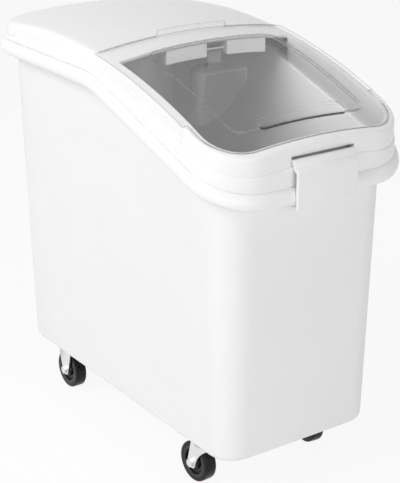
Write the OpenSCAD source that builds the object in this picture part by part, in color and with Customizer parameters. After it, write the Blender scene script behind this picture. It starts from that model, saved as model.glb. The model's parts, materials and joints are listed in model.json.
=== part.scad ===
// Rolling flour bin: a tapered tub on four casters, with a domed top whose clear front lid
// slides back over a fixed rear deck, a latch on the front rim and a scoop hung inside.
// Millimetres, +Z up, front towards -Y, the ground at z = 0 and the origin under the middle.

/* [Tub] */
// Width of the tub across its floor
floor_w = 300; // [280:1:330]
// Length of the tub along its floor
floor_l = 634; // [600:1:680]
// Corner radius of the floor's outline
floor_r = 46; // [36:1:56]
// Draft of the walls in degrees
wall_draft = 1.4; // [0.8:0.1:1.8]
// Wall thickness
wall_t = 4; // [3:0.5:6]
// Floor thickness
floor_t = 5; // [4:0.5:8]
// Rounding where the walls meet the floor
floor_round = 10; // [7:1:14]
// Width of the foot around the underside
foot_w = 7; // [6:0.5:8]
// Height of the foot, and of the pads that carry the casters inside it
pad_h = 12; // [11:0.5:16]

/* [Rolled rim] */
// How far the rim stands out from the floor's outline
rim_out = 42; // [40:1:46]
// Height of the rolled rim
rim_h = 25; // [22:1:29]
// Height of the rim's lower edge along its level rear half
rim_z = 630; // [624:1:634]
// Slope of the rim's front half in degrees
rim_tilt = 18; // [16:0.5:20]
// Where the slope starts, ahead of (-) or behind the middle
rim_bend_y = 5; // [-15:1:25]
// Length over which the level and sloped stretches blend
rim_blend = 40; // [20:2:80]
// Depth of the rolled edge's curve
roll_d = 9; // [6:0.5:11]
// Thickness of the turned-down lip
lip_t = 4; // [3:0.5:5]

/* [Lid frame and deck] */
// Radius of the dome that the deck and the sliding lid share
dome_r = 1100; // [1080:5:1120]
// Rise of the dome's top above the rim's lower edge
dome_rise = 79; // [75:1:86]
// How far behind the middle the dome peaks
dome_y = 135; // [125:1:145]
// Setback of the frame from the rim's outer edge
frame_set = 8; // [6:0.5:10]
// Setback of the upper band and the lid's skirts from the frame
band_set = 2; // [1.5:0.5:4]
// Wall of the frame and the deck
frame_t = 3; // [2:0.5:4]
// Least height of the frame above the rim
frame_least_h = 6; // [4:0.5:9]
// Width of the frame's rail beside the access window
rail_w = 19; // [18:1:29]
// Distance from the rim's front to the window
window_front = 29; // [27:1:36]
// Corner radius of the window
window_r = 56; // [40:2:64]
// How far ahead of the middle the deck's front edge lies
deck_front = 51; // [46:1:60]
// Depth of the flange under the deck's front edge
deck_flange = 5; // [4:0.5:10]

/* [Sliding lid] */
// Sheet thickness of the clear lid
lid_t = 3; // [2.5:0.25:4]
// Depth of the lid's side skirts
skirt_h = 22; // [18:1:23]
// How far ahead of the middle the lid's rear edge lies
lid_rear = 8; // [2:1:20]
// How far ahead of the middle the skirts end, where the lid narrows
lid_notch = 250; // [235:1:260]
// Setback of the lid's front part from the frame's side
lid_side = 10.5; // [9:0.5:13]
// Distance from the rim's front to the lid's front edge
lid_front = 22.5; // [21:0.5:24]
// Corner radius of the lid's front
lid_r = 64; // [50:2:70]
// Width of the raised field
field_w = 250; // [200:2:280]
// Length of the raised field
field_l = 225; // [180:2:240]
// How far ahead of the middle the raised field starts
field_y = 62; // [50:1:70]
// Height of the raised field
field_h = 3; // [2:0.25:5]
// Corner radius of the raised field
field_r = 22; // [12:1:30]
// Width of the pull grip
grip_w = 162; // [130:2:180]
// Length of the pull grip along the lid
grip_l = 24; // [18:1:30]
// Height of the pull grip
grip_h = 5.5; // [5:0.25:9]
// How far ahead of the middle the pull grip starts
grip_y = 267; // [262:1:272]
// Width of the rear tab
tab_w = 132; // [100:2:160]
// Height of the rear tab
tab_h = 8; // [5:0.5:10]

/* [Latch] */
// Width of the latch
latch_w = 116; // [100:1:124]
// Thickness of the latch's strip
latch_t = 3.5; // [3:0.25:4]
// Thickness of the latch's lower block where it passes the rim
latch_block_t = 4; // [3.5:0.25:6]
// How far the latch's block rises, as a share of the way from the rim to the latch's knuckle
latch_rise_share = 0.83; // [0.6:0.01:0.86]
// Thickness of the hook under the rim
hook_t = 4; // [3:0.5:6]
// How far the hook reaches back under the rim
hook_reach = 9; // [6:0.5:10]
// Radius of the latch's knuckle
knuckle_r = 4.5; // [4:0.25:5.5]
// Diameter of the latch pin
latch_pin_d = 4; // [3:0.25:5]
// How far the latch pin reaches into the frame on each side
latch_pin_hold = 8; // [5:0.5:9]

/* [Scoop] */
// Sideways place of the scoop and its hanger
scoop_x = 24; // [10:1:30]
// Width of each hanger block
hanger_block_w = 78; // [60:1:80]
// Gap between the hanger blocks
hanger_gap = 40; // [34:1:46]
// Depth of the hanger blocks, front to back
hanger_l = 24; // [20:1:30]
// Drop of the hanger blocks below the dome
hanger_drop = 29; // [26:1:34]
// Diameter of the scoop's pin
scoop_pin_d = 6; // [5:0.25:7]
// Radius of the eye on the scoop's handle
scoop_eye_r = 7.5; // [6.5:0.5:8]
// Width of the scoop's handle
scoop_handle_w = 26; // [20:1:30]
// Thickness of the scoop's handle
scoop_handle_t = 10; // [8:0.5:13]
// Length of the scoop's handle from the eye's centre
scoop_handle_l = 30; // [28:1:60]
// Width of the scoop's bowl
bowl_w = 86; // [78:2:110]
// Depth of the scoop's bowl
bowl_d = 72; // [62:1:78]
// Length of the scoop's bowl
bowl_l = 110; // [105:1:150]
// Wall of the scoop
bowl_t = 2.5; // [2:0.25:3.5]
// Slant of the bowl's mouth in degrees
bowl_slant = 50; // [20:1:50]

/* [Casters] */
// Height of a caster from the ground to the tub
caster_h = 89; // [86:1:100]
// Wheel diameter
wheel_d = 70; // [64:1:72]
// Tread width
tread_w = 21; // [18:0.5:24]
// Thickness of the tyre
tyre_t = 8; // [6:0.5:10]
// Width of the wheel's hub
hub_w = 24; // [22:0.5:28]
// Diameter of the wheel's hub
hub_d = 24; // [20:1:28]
// Thickness of the wheel's web
web_t = 9; // [7:0.5:12]
// Distance of the casters in from the sides of the floor
caster_in = 36.5; // [36:0.5:40]
// Distance of the rear wheels behind the middle
rear_wheel_y = 221; // [200:1:230]
// Distance of the front kingpins ahead of the middle
front_pin_y = 218; // [200:1:230]
// Distance of a front wheel's axle behind its kingpin
trail = 24; // [22:1:30]
// Angle at which the front left caster stands
front_left_turn = 3; // [-60:1:60]
// Angle at which the front right caster stands
front_right_turn = -6; // [-60:1:60]
// Width of a caster's mounting plate
plate_w = 58; // [57:0.5:58.5]
// Length of a caster's mounting plate
plate_l = 66; // [64:1:76]
// Corner radius of a mounting plate
plate_r = 6; // [3:0.5:9]
// Sheet thickness of the caster's pressings
sheet_t = 2.5; // [2:0.25:3]
// Width of the upper end of a caster leg
leg_top_l = 48; // [44:1:56]
// How far the leading edge of a swivel's leg is hollowed
leg_hollow = 7; // [0:0.5:9]
// Radius of a caster leg's rounded foot
leg_foot_r = 10; // [9:0.5:12]
// Radius of the swivel's race
race_r = 18; // [17:0.5:19]
// Diameter of the swivel's balls
ball_d = 6; // [5:0.25:6.5]
// Number of balls in a swivel
ball_count = 12; // [8:1:14]
// Diameter of the kingpin
kingpin_d = 10; // [8:0.5:11]
// Diameter of the kingpin's head
kingpin_head_d = 17; // [14:0.5:18]
// Thickness of the kingpin's head
kingpin_head_t = 2.5; // [2:0.25:3]

/* [Fasteners] */
// Diameter of the axle bolts
axle_d = 8; // [7:0.25:9]
// Outer diameter of the axle bushings
bushing_d = 12; // [11:0.25:13]
// Width across the flats of the axle's head and nut
axle_flats = 13; // [11:0.5:14]
// Thickness of the axle's head and nut
axle_head_t = 5; // [4:0.25:6]
// How far an axle bolt stands out of its nut
axle_end = 1.5; // [1:0.25:3]
// Diameter of the caster bolts
bolt_d = 6; // [5:0.25:6.5]
// Width across the flats of a caster bolt's head
bolt_flats = 10; // [8:0.5:10]
// Thickness of a caster bolt's head
bolt_head_t = 4; // [3:0.25:4.5]
// Length of a caster bolt under its head
bolt_l = 12; // [10:0.5:13]
// Distance of a caster bolt from its plate's edges
bolt_edge = 8; // [7.5:0.25:9]

/* [Hidden] */
$fn = 72;

// Finishes
white_plastic = "white";
clear_plastic = [0.85, 0.9, 0.92, 0.45];
zinc = "silver";
black_plastic = [0.12, 0.12, 0.12];
black_rubber = [0.07, 0.07, 0.07];

// Clearances and steps
overrun = 1;
slide_gap = 0.4;
seat_gap = 0.3;
run_gap = 0.05;
side_gap = 0.5;
latch_gap = 0.6;
notch_gap = 1;
scoop_side_gap = 1.5;
bolt_gap = 0.25;
foot_edge_w = 2;
dome_steps = 240;
corner_steps = 10;
round_steps = 3;
roll_steps = 8;
rear_steps = 5;
leg_steps = 8;
blend_steps = 6;
front_steps = 6;

// Outline distances, measured outwards from the floor's outline
rim_l = floor_l + 2 * rim_out;
rim_front_y = -rim_l / 2;
frame_d = rim_out - frame_set;
band_d = frame_d - band_set;
band_half_w = floor_w / 2 + band_d;
deck_d = band_d - lid_t - side_gap;
frame_front_y = rim_front_y + frame_set;
frame_half_w = floor_w / 2 + frame_d;
window_w = 2 * (frame_half_w - rail_w);
lid_front_w = 2 * (frame_half_w - lid_side);
lid_pocket_wall = rail_w - lid_side + side_gap + frame_t;
side_straight = floor_l / 2 - floor_r;
draft_slope = tan(wall_draft);
tilt_slope = tan(rim_tilt);

// Heights
floor_z = caster_h + pad_h;
foot_start = asin(1 - (foot_w - foot_edge_w) / floor_round);
foot_z = caster_h - floor_round * (1 - cos(foot_start));
dome_top = rim_z + dome_rise;
dome_c = [0, dome_y, dome_top - dome_r];
lid_under = slide_gap;
lid_over = slide_gap + lid_t;
stack_h = dome_top + tab_h + lid_over;

// The latch turns on a pin that lies in a notch of the upper band, above the frame's ledge
latch_proud = latch_gap + latch_block_t;
centring = latch_proud / 2;
latch_pin_y = frame_front_y + band_set + knuckle_r / 2;
latch_pin_z = dome_height(-skirt_h, 0, frame_front_y) + knuckle_r + latch_gap;
strip_back_y = frame_front_y - latch_gap;
strip_front_y = strip_back_y - latch_t;
block_back_y = rim_front_y - latch_gap;
block_front_y = rim_front_y - latch_proud;
rim_front_top = rim_height(frame_front_y) + rim_h;
rim_front_low = rim_height(rim_front_y);
latch_swing_r = latch_pin_y - strip_front_y;

// The scoop's hanger
hanger_y = -deck_front + frame_t + seat_gap + hanger_l / 2;
hanger_top = -frame_t - seat_gap;
scoop_pin_z = dome_height(-hanger_drop, scoop_x, hanger_y) + scoop_eye_r;
scoop_pin_l = hanger_gap + hanger_block_w;

// Casters
wheel_r = wheel_d / 2;
axle_z = wheel_r;
fork_gap = hub_w + 2 * side_gap;
leg_x = fork_gap / 2;
core_r = wheel_r - tyre_t;
plate_z = caster_h - sheet_t;
crown_top = plate_z - sheet_t - seat_gap - ball_d - seat_gap;
crown_z = crown_top - sheet_t;
race_width_share = 1.5;
race_w = ball_d * race_width_share;
race_in = race_r - race_w / 2;
race_out = race_r + race_w / 2;
bolt_x = plate_w / 2 - bolt_edge;
bolt_y = plate_l / 2 - bolt_edge;
hex_share = 1 / cos(30);
grip_corner_share = 1 / 3;

// Where each caster stands: place of its plate, how far its axle trails, and its turn
caster_x = floor_w / 2 - caster_in;
front_left = [-caster_x, -front_pin_y, trail, front_left_turn];
front_right = [caster_x, -front_pin_y, trail, front_right_turn];
rear_left = [-caster_x, rear_wheel_y, 0, 0];
rear_right = [caster_x, rear_wheel_y, 0, 0];
casters = [front_left, front_right, rear_left, rear_right];

// Height of the rim's lower edge at a place along the bin: level behind, sloped in front
function rim_height(y) =
    let (ahead = rim_bend_y - y, half = rim_blend / 2)
    rim_z - tilt_slope * (ahead <= -half ? 0 : ahead >= half ? ahead : (ahead + half) ^ 2 / (2 * rim_blend));

// Height of a dome, lifted or sunk along its radius, above a place in plan
function dome_height(lift, x, y) = dome_c.z + sqrt((dome_r + lift) ^ 2 - x ^ 2 - (y - dome_c.y) ^ 2);

// Even steps between two values
function steps(from, to, count) = [for (i = [0 : count]) from + (to - from) * i / count];

// Places along a straight side, from the rear corner to the front one, closer where the rim bends
function side_places() =
    let (
        half = rim_blend / 2,
        rear = steps(side_straight, rim_bend_y + half, rear_steps),
        blend = steps(rim_bend_y + half, rim_bend_y - half, blend_steps),
        front = steps(rim_bend_y - half, -side_straight, front_steps)
    )
    [for (i = [1 : rear_steps]) rear[i],
     for (i = [1 : blend_steps]) blend[i],
     for (i = [1 : front_steps - 1]) front[i]];

// One corner of the floor's outline: pairs of a place and the direction that faces outwards
function corner(x_sign, y_sign, start) =
    [for (a = steps(start, start + 90, corner_steps))
        [[x_sign * (floor_w / 2 - floor_r) + floor_r * cos(a), y_sign * side_straight + floor_r * sin(a)],
         [cos(a), sin(a)]]];

// The floor's outline, counter-clockwise from the rear right corner
function outline_walk() =
    let (places = side_places(), last = len(places) - 1)
    concat(
        corner(1, 1, 0),
        corner(-1, 1, 90),
        [for (i = [0 : last]) [[-floor_w / 2, places[i]], [-1, 0]]],
        corner(-1, -1, 180),
        corner(1, -1, 270),
        [for (i = [last : -1 : 0]) [[floor_w / 2, places[i]], [1, 0]]]
    );

walk = outline_walk();
walk_count = len(walk);

// Rings of the tub: level ones, ones that follow the rim, and ones on the drafted wall under the rim
function level_ring(d, z) = [for (w = walk) let (p = w[0] + w[1] * d) [p.x, p.y, z]];
function rim_ring(d, lift) = [for (w = walk) let (p = w[0] + w[1] * d) [p.x, p.y, rim_height(p.y) + lift]];
function wall_ring(inset, lift) =
    [for (w = walk)
        let (
            near = w[0] + w[1] * rim_out / 2,
            z = rim_height(near.y) + lift,
            p = w[0] + w[1] * (draft_slope * (z - caster_h) - inset)
        )
        [p.x, p.y, z]];

// A solid skinned over a list of rings, closed at the first and last ring
module skin(rings) {
    ring_count = len(rings);
    first_mid = ring_count * walk_count;
    last_mid = first_mid + 1;
    last_start = first_mid - walk_count;
    points = concat(
        [for (ring = rings) each ring],
        [[0, 0, rings[0][0].z], [0, 0, rings[ring_count - 1][0].z]]
    );
    sides = [for (r = [0 : ring_count - 2], i = [0 : walk_count - 1])
        let (j = (i + 1) % walk_count, a = r * walk_count, b = a + walk_count)
        each [[a + i, b + i, b + j], [a + i, b + j, a + j]]];
    first_cap = [for (i = [0 : walk_count - 1]) [first_mid, i, (i + 1) % walk_count]];
    last_cap = [for (i = [0 : walk_count - 1])
        [last_mid, last_start + (i + 1) % walk_count, last_start + i]];
    polyhedron(points = points, faces = concat(first_cap, sides, last_cap));
}

// Everything shares this placing, which centres the whole part over the origin
module placed(finish) {
    color(finish) translate([0, centring, 0]) children();
}

// A flat outline at a distance outside the floor's outline
module outline(d) {
    r = floor_r + d;
    square([floor_w + 2 * d, 2 * side_straight], center = true);
    square([floor_w - 2 * floor_r, floor_l + 2 * d], center = true);
    for (x = [-1, 1], y = [-1, 1])
        translate([x * (floor_w / 2 - floor_r), y * side_straight])
            circle(r);
}

module outline_prism(d) {
    linear_extrude(stack_h) outline(d);
}

// A flat plate across the middle between two places along the bin, with its front corners rounded
module front_rounded(w, from_y, to_y, r) {
    translate([-w / 2, from_y + r])
        square([w, to_y - from_y - r]);
    translate([r - w / 2, from_y])
        square([w - 2 * r, r + overrun]);
    for (x = [-1, 1])
        translate([x * (w / 2 - r), from_y + r])
            circle(r);
}

// A flat plate with all four corners rounded
module all_rounded(w, l, r) {
    square([w, l - 2 * r], center = true);
    square([w - 2 * r, l], center = true);
    for (x = [-1, 1], y = [-1, 1])
        translate([x * (w / 2 - r), y * (l / 2 - r)])
            circle(r);
}

// A block across the whole bin between two places along it
module span(from_y, to_y) {
    translate([-rim_l / 2, from_y, 0])
        cube([rim_l, to_y - from_y, stack_h]);
}

module dome(lift) {
    translate(dome_c) sphere(dome_r + lift, $fn = dome_steps);
}

// A flat profile drawn along the bin and upwards, drawn out sideways
module across(w) {
    rotate([90, 0, 90])
        linear_extrude(w, center = true)
            children();
}

// Everything below a height over the rim
module below_rim(lift) {
    half = rim_blend / 2;
    places = concat([rim_l], steps(rim_bend_y + half, rim_bend_y - half, blend_steps), [-rim_l]);
    across(2 * rim_l)
        polygon(concat(
            [for (y = places) [y, rim_height(y) + lift]],
            [[-rim_l, -rim_l], [rim_l, -rim_l]]
        ));
}

// Tub

module tub_shell() {
    mid = rim_h / 2;
    lip_d = rim_out - roll_d - lip_t;
    skin(concat(
        [level_ring(-foot_w, floor_z)],
        [level_ring(-foot_w, caster_h)],
        [for (a = steps(foot_start, 90, round_steps))
            level_ring(-floor_round * (1 - sin(a)), foot_z + floor_round * (1 - cos(a)))],
        [wall_ring(0, rim_h - lip_t)],
        [rim_ring(lip_d, rim_h - lip_t)],
        [rim_ring(lip_d, lip_t / 2)],
        [for (a = steps(-90, 90, roll_steps)) rim_ring(rim_out - roll_d * (1 - cos(a)), mid + mid * sin(a))],
        [wall_ring(wall_t, rim_h)],
        [for (a = steps(90, 0, round_steps))
            level_ring(
                -wall_t - floor_round * (1 - sin(a)) + draft_slope * (pad_h + floor_t),
                floor_z + floor_t + floor_round * (1 - cos(a))
            )]
    ));
}

module at_caster_bolts() {
    for (c = casters, x = [-1, 1], y = [-1, 1])
        translate([c.x + x * bolt_x, c.y + y * bolt_y, caster_h])
            children();
}

module bin_body() placed(white_plastic) {
    tub_shell();
}

module caster_pads() placed(white_plastic) {
    difference() {
        for (c = casters)
            translate([c.x, c.y, caster_h])
                linear_extrude(pad_h)
                    all_rounded(plate_w, plate_l, plate_r);
        at_caster_bolts()
            translate([0, 0, -overrun])
                cylinder(h = bolt_l - sheet_t + bolt_gap + overrun, d = bolt_d + 2 * run_gap);
    }
}

// Lid frame: a hollow band on the rim, the rear deck, rails under the lid and a raised front band

module window_prism(grow) {
    linear_extrude(stack_h)
        front_rounded(
            window_w + 2 * grow,
            rim_front_y + window_front - grow,
            -deck_front + grow,
            window_r + grow
        );
}

module lid_pocket() {
    linear_extrude(stack_h)
        front_rounded(
            lid_front_w + 2 * side_gap,
            rim_front_y + lid_front - side_gap,
            -lid_notch + overrun,
            lid_r + side_gap
        );
}

module frame_form(inset) {
    intersection() {
        outline_prism(frame_d - inset);
        union() {
            dome(-skirt_h - inset);
            below_rim(rim_h + frame_least_h - inset);
        }
    }
    intersection() {
        outline_prism(deck_d - inset);
        span(-lid_notch - overrun, rim_l);
        dome(-inset);
    }
    intersection() {
        outline_prism(band_d - inset);
        span(-rim_l, -lid_notch - side_gap - inset);
        dome(-inset);
    }
    difference() {
        intersection() {
            outline_prism(band_d - inset);
            span(-rim_l, -lid_notch - side_gap - inset);
            dome(lid_over - inset);
        }
        if (inset == 0) lid_pocket();
        if (inset > 0) window_prism(lid_pocket_wall);
    }
}

module latch_lugs() {
    lug_w = latch_pin_hold + frame_t;
    for (x = [-1, 1])
        translate([x * (latch_w / 2 + notch_gap + lug_w / 2), 0, 0])
            intersection() {
                outline_prism(band_d);
                translate([-lug_w / 2, frame_front_y, latch_pin_z - 2 * knuckle_r])
                    cube([lug_w, 3 * knuckle_r, 4 * knuckle_r]);
            }
}

module lid_frame() placed(white_plastic) {
    difference() {
        union() {
            difference() {
                frame_form(0);
                difference() {
                    frame_form(frame_t);
                    window_prism(frame_t);
                }
                window_prism(0);
                intersection() {
                    dome(-deck_flange);
                    translate([0, frame_t + overrun, 0])
                        window_prism(0);
                }
            }
            latch_lugs();
        }
        below_rim(rim_h + seat_gap);
        translate([-latch_w / 2 - notch_gap, -rim_l, latch_pin_z - knuckle_r - latch_gap])
            cube([
                latch_w + 2 * notch_gap,
                rim_l + latch_pin_y + knuckle_r + notch_gap,
                knuckle_r + latch_gap + latch_swing_r + notch_gap
            ]);
        latch_pin_bar(latch_pin_d / 2 + run_gap, run_gap);
    }
}

// Sliding lid

module lid_plan() {
    front_y = rim_front_y + lid_front;
    front_rounded(lid_front_w, front_y, -lid_notch + overrun, lid_r);
    translate([-band_half_w, -lid_notch])
        square([2 * band_half_w, lid_notch - lid_rear]);
}

// Raised panels of the lid, down to the dome's centre, for the outside and for the hollow under it
module field_panel(lift, inset) {
    intersection() {
        translate([0, -field_y - field_l / 2, 0])
            linear_extrude(stack_h)
                all_rounded(field_w - 2 * inset, field_l - 2 * inset, field_r - inset);
        dome(lift);
    }
}

module grip_panel(lift, inset) {
    intersection() {
        translate([0, -grip_y - grip_l / 2, 0])
            linear_extrude(stack_h)
                all_rounded(grip_w - 2 * inset, grip_l - 2 * inset, grip_l * grip_corner_share - inset);
        dome(lift);
    }
}

module sliding_lid() placed(clear_plastic) {
    difference() {
        union() {
            intersection() {
                linear_extrude(stack_h) lid_plan();
                dome(lid_over);
            }
            field_panel(lid_over + field_h, 0);
            grip_panel(lid_over + grip_h, 0);
            intersection() {
                translate([-tab_w / 2, -lid_rear - lid_t, 0])
                    cube([tab_w, lid_t, stack_h]);
                dome(lid_over + tab_h);
            }
        }
        intersection() {
            translate([lid_t - band_half_w, -rim_l, 0])
                cube([2 * (band_half_w - lid_t), 2 * rim_l, stack_h]);
            dome(lid_under);
        }
        dome(lid_under - skirt_h);
        below_rim(rim_h + frame_least_h + side_gap);
        field_panel(lid_under + field_h, lid_t);
        grip_panel(lid_under + grip_h, lid_t);
    }
}

// Latch

module latch_pin_bar(r, end_gap) {
    bar_l = latch_w + 2 * notch_gap + 2 * latch_pin_hold + 2 * end_gap;
    translate([-bar_l / 2, latch_pin_y, latch_pin_z])
        rotate([0, 90, 0])
            cylinder(h = bar_l, r = r);
}

module latch_profile() {
    jog_z = rim_front_top + latch_rise_share * (latch_pin_z - knuckle_r - rim_front_top);
    hook_top = rim_front_low - latch_gap;
    polygon([
        [latch_pin_y, latch_pin_z + knuckle_r],
        [strip_front_y + knuckle_r, latch_pin_z + knuckle_r],
        [strip_front_y, latch_pin_z],
        [strip_front_y, jog_z + latch_t],
        [block_front_y, jog_z],
        [block_front_y, hook_top - hook_t],
        [block_back_y + hook_reach, hook_top - hook_t],
        [block_back_y + hook_reach, hook_top],
        [block_back_y, hook_top],
        [block_back_y, jog_z - latch_t],
        [strip_back_y, jog_z],
        [strip_back_y, latch_pin_z - knuckle_r],
        [latch_pin_y, latch_pin_z - knuckle_r]
    ]);
}

module front_latch() placed(white_plastic) {
    difference() {
        union() {
            across(latch_w) latch_profile();
            translate([-latch_w / 2, latch_pin_y, latch_pin_z])
                rotate([0, 90, 0])
                    cylinder(h = latch_w, r = knuckle_r);
        }
        latch_pin_bar(latch_pin_d / 2 + run_gap, 0);
    }
}

module latch_pin() placed(zinc) {
    latch_pin_bar(latch_pin_d / 2, 0);
}

// Scoop and its hanger

module scoop_pin_bar(r, l) {
    translate([scoop_x - l / 2, hanger_y, scoop_pin_z])
        rotate([0, 90, 0])
            cylinder(h = l, r = r);
}

module scoop_hanger() placed(white_plastic) {
    whole_w = hanger_gap + 2 * hanger_block_w;
    difference() {
        intersection() {
            translate([scoop_x - whole_w / 2, hanger_y - hanger_l / 2, 0])
                cube([whole_w, hanger_l, stack_h]);
            difference() {
                dome(hanger_top);
                dome(-hanger_drop);
            }
        }
        intersection() {
            translate([scoop_x - hanger_gap / 2, hanger_y - hanger_l / 2 - overrun, 0])
                cube([hanger_gap, hanger_l + 2 * overrun, stack_h]);
            dome(hanger_top - frame_t);
        }
        scoop_pin_bar(scoop_pin_d / 2 + run_gap, scoop_pin_l + 2 * run_gap);
    }
}

module scoop_pin() placed(zinc) {
    scoop_pin_bar(scoop_pin_d / 2, scoop_pin_l);
}

module bowl_section(inset) {
    r = bowl_w / 2 - inset;
    back_y = bowl_d / 2 - inset - r;
    translate([0, back_y])
        circle(r);
    translate([-r, back_y - bowl_d])
        square([2 * r, bowl_d]);
}

module scoop() placed(clear_plastic) {
    bowl_top = -scoop_handle_l;
    translate([scoop_x, hanger_y, scoop_pin_z])
        difference() {
            union() {
                translate([-scoop_handle_w / 2, -scoop_handle_t / 2, bowl_top - bowl_t])
                    cube([scoop_handle_w, scoop_handle_t, scoop_handle_l + bowl_t]);
                translate([-scoop_handle_w / 2, 0, 0])
                    rotate([0, 90, 0])
                        cylinder(h = scoop_handle_w, r = scoop_eye_r);
                difference() {
                    translate([0, 0, bowl_top - bowl_l])
                        linear_extrude(bowl_l)
                            bowl_section(0);
                    translate([0, 0, bowl_top - bowl_l - overrun])
                        linear_extrude(bowl_l + overrun - bowl_t)
                            bowl_section(bowl_t);
                    translate([-bowl_w, -bowl_d / 2 - 2 * bowl_w, bowl_top - bowl_l - overrun])
                        cube([2 * bowl_w, 2 * bowl_w, bowl_l + 2 * overrun]);
                    translate([0, bowl_d / 2, bowl_top - bowl_l])
                        rotate([-bowl_slant, 0, 0])
                            translate([-bowl_w, -2 * bowl_l, -bowl_l])
                                cube([2 * bowl_w, 2 * bowl_l, bowl_l]);
                }
            }
            translate([-scoop_handle_w, 0, 0])
                rotate([0, 90, 0])
                    cylinder(h = 2 * scoop_handle_w, r = scoop_pin_d / 2 + run_gap);
        }
}

// Casters: each is drawn with its plate over the origin and its axle along X

module at_caster(c, finish, turn) {
    placed(finish)
        translate([c.x, c.y, 0])
            rotate([0, 0, turn])
                children();
}

module along_axle(c, from_x) {
    translate([from_x, c[2], axle_z])
        rotate([0, 90, 0])
            children();
}

module hex(flats, h) {
    cylinder(h = h, d = flats * hex_share, $fn = 6);
}

module plate_with_holes() {
    translate([0, 0, plate_z])
        difference() {
            linear_extrude(sheet_t)
                all_rounded(plate_w, plate_l, plate_r);
            for (x = [-1, 1], y = [-1, 1])
                translate([x * bolt_x, y * bolt_y, -overrun])
                    cylinder(h = sheet_t + 2 * overrun, r = bolt_d / 2 + bolt_gap);
        }
}

// Points down a leg's leading edge, hollowed most at its middle
function leading_edge(from, to, hollow) = [for (i = [0 : leg_steps])
    let (s = i / leg_steps)
    from + s * (to - from) + [hollow * sin(180 * s), 0]];

// A pair of legs that taper from a straight top edge to a round foot about the axle
module legs(c, top_z, hollow) {
    for (x = [-leg_x - sheet_t, leg_x])
        difference() {
            union() {
                translate([x, 0, 0])
                    rotate([90, 0, 90])
                        linear_extrude(sheet_t)
                            polygon(concat(
                                [[leg_top_l / 2, top_z]],
                                leading_edge([-leg_top_l / 2, top_z], [c[2] - leg_foot_r, axle_z], hollow),
                                [[c[2] + leg_foot_r, axle_z]]
                            ));
                along_axle(c, x)
                    cylinder(h = sheet_t, r = leg_foot_r);
            }
            along_axle(c, x - overrun)
                cylinder(h = sheet_t + 2 * overrun, r = axle_d / 2 + run_gap);
        }
}

module rigid_bracket(c) at_caster(c, zinc, 0) {
    plate_with_holes();
    legs(c, plate_z, 0);
}

module swivel_plate(c) at_caster(c, zinc, 0) {
    difference() {
        union() {
            plate_with_holes();
            translate([0, 0, plate_z - sheet_t])
                cylinder(h = sheet_t, r = race_out);
        }
        translate([0, 0, plate_z - sheet_t - overrun])
            cylinder(h = 2 * sheet_t + 2 * overrun, r = kingpin_d / 2 + run_gap);
    }
}

module kingpin(c) at_caster(c, zinc, 0) {
    head_z = crown_z - seat_gap - kingpin_head_t;
    translate([0, 0, head_z])
        cylinder(h = kingpin_head_t, d = kingpin_head_d);
    translate([0, 0, head_z])
        cylinder(h = caster_h - head_z, d = kingpin_d);
}

module swivel_balls(c) at_caster(c, zinc, c[3]) {
    for (i = [0 : ball_count - 1])
        rotate([0, 0, 360 * i / ball_count])
            translate([race_r, 0, crown_top + seat_gap + ball_d / 2])
                sphere(d = ball_d);
}

module swivel_fork(c) at_caster(c, zinc, c[3]) {
    difference() {
        union() {
            translate([0, 0, crown_z])
                cylinder(h = sheet_t, r = race_out);
            translate([-leg_x - sheet_t, -leg_top_l / 2, crown_z])
                cube([2 * (leg_x + sheet_t), leg_top_l, sheet_t]);
            legs(c, crown_z + sheet_t, leg_hollow);
        }
        translate([0, 0, crown_z - overrun])
            cylinder(h = sheet_t + 2 * overrun, r = kingpin_d / 2 + run_gap);
    }
}

// The wheel's section: half of it from the tyre's seat in to the bore, and its mirror image
module wheel_section() {
    rib_share = 1 / 6;
    bore_r = bushing_d / 2 + run_gap;
    rim_in = core_r - web_t / 2;
    mid_r = (hub_d / 2 + rim_in) / 2;
    rib = web_t * rib_share;
    half = [
        [core_r, tread_w / 2],
        [rim_in, tread_w / 2],
        [rim_in - rib, web_t / 2],
        [mid_r + rib, web_t / 2],
        [mid_r + rib / 2, web_t / 2 + rib],
        [mid_r - rib / 2, web_t / 2 + rib],
        [mid_r - rib, web_t / 2],
        [hub_d / 2 + rib, web_t / 2],
        [hub_d / 2, hub_w / 2],
        [bore_r, hub_w / 2]
    ];
    last = len(half) - 1;
    polygon(concat(half, [for (i = [last : -1 : 0]) [half[i].x, -half[i].y]]));
}

module wheel(c) at_caster(c, black_plastic, c[3]) {
    along_axle(c, 0)
        rotate_extrude()
            wheel_section();
}

module tyre(c) at_caster(c, black_rubber, c[3]) {
    in_r = core_r + run_gap;
    half = tread_w / 2;
    shoulder_share = 1 / 6;
    crown_share = 1 / 4;
    shoulder = tyre_t * shoulder_share;
    crown = shoulder * crown_share;
    along_axle(c, 0)
        rotate_extrude()
            polygon([
                [in_r, -half],
                [wheel_r - shoulder, -half],
                [wheel_r - crown, -half + shoulder],
                [wheel_r, 0],
                [wheel_r - crown, half - shoulder],
                [wheel_r - shoulder, half],
                [in_r, half]
            ]);
}

module bushing(c) at_caster(c, zinc, c[3]) {
    length = fork_gap - 2 * run_gap;
    along_axle(c, -length / 2)
        difference() {
            cylinder(h = length, d = bushing_d);
            translate([0, 0, -overrun])
                cylinder(h = length + 2 * overrun, r = axle_d / 2 + run_gap);
        }
}

module axle(c) at_caster(c, zinc, c[3]) {
    out_x = leg_x + sheet_t;
    along_axle(c, -out_x - axle_head_t)
        hex(axle_flats, axle_head_t);
    along_axle(c, -out_x - axle_head_t / 2)
        cylinder(h = 2 * out_x + 3 * axle_head_t / 2 + axle_end, d = axle_d);
}

module axle_nut(c) at_caster(c, zinc, c[3]) {
    along_axle(c, leg_x + sheet_t)
        difference() {
            hex(axle_flats, axle_head_t);
            translate([0, 0, -overrun])
                cylinder(h = axle_head_t + 2 * overrun, r = axle_d / 2 + run_gap);
        }
}

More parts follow.
